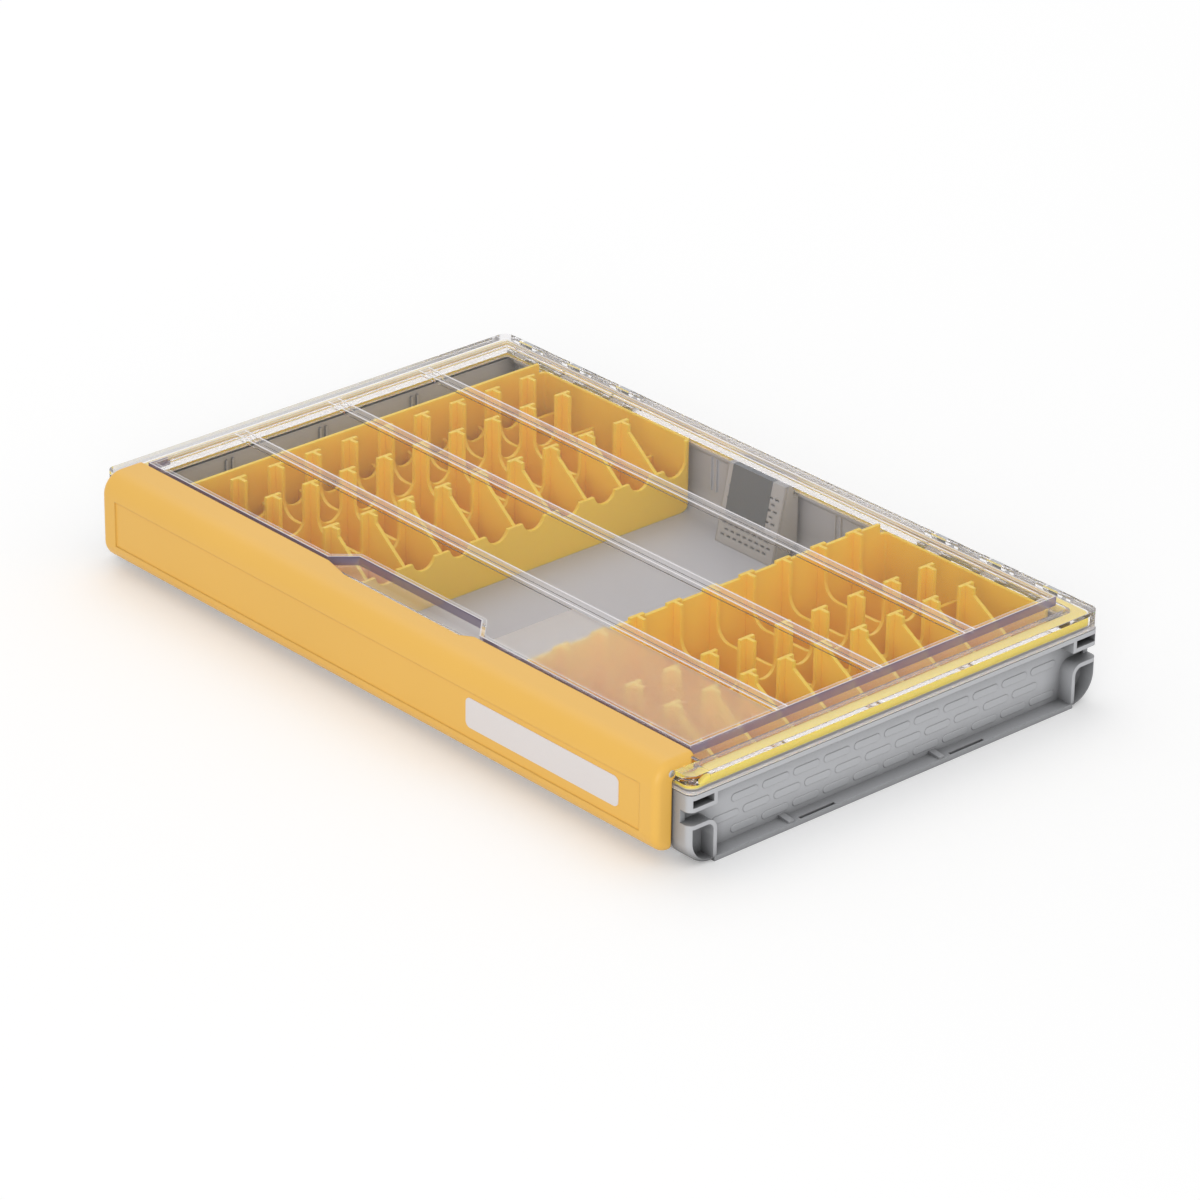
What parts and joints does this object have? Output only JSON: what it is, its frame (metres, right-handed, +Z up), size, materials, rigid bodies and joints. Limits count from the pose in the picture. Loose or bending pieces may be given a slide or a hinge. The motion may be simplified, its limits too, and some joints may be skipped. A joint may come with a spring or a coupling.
{
  "type": "lure box",
  "caption": "Flat sealed tackle tray with a clear hinged lid, a full-width swinging front latch, removable slotted lure racks and a moisture-absorbing case inside.",
  "frame": {"origin": "on the table, under the middle of the closed box's bounding box", "axes": "+X to the right along the latch, +Y from the latch towards the hinges, +Z up"},
  "size_m": [0.356, 0.231, 0.0435],
  "materials": {
    "base_grey": "fine moulded grain",
    "rack_yellow": "moulded, satin",
    "latch_yellow": "moulded, semi-gloss",
    "lid_clear": "clear, polished",
    "seal_yellow": "soft, matte",
    "pin_steel": "drawn wire",
    "case_grey": "moulded, satin",
    "pack_white": "bonded fibre",
    "label_white": "printed film, left blank"
  },
  "bodies": {
    "base": {"base_shell": "base_grey", "hinge_pin_left": "pin_steel", "hinge_pin_right": "pin_steel", "rack_left": "rack_yellow", "rack_right": "rack_yellow", "moisture_case_body": "case_grey", "moisture_case_cover": "case_grey", "desiccant_pack": "pack_white", "moisture_case_label": "label_white"},
    "lid": {"lid": "lid_clear", "seal_ring": "seal_yellow"},
    "latch": {"latch": "latch_yellow", "latch_pin_left": "pin_steel", "latch_pin_right": "pin_steel", "latch_label": "label_white"}
  },
  "joints": [
    {"name": "lid_hinge", "type": "hinge", "parent": "base", "child": "lid", "pos_m": [0, 0.113, 0.0358], "axis": [-1, 0, 0], "range_deg": [0, 180]},
    {"name": "latch_hinge", "type": "hinge", "parent": "lid", "child": "latch", "pos_m": [0, -0.1075, 0.0383], "axis": [-1, 0, 0], "range_deg": [0, 12]}
  ]
}
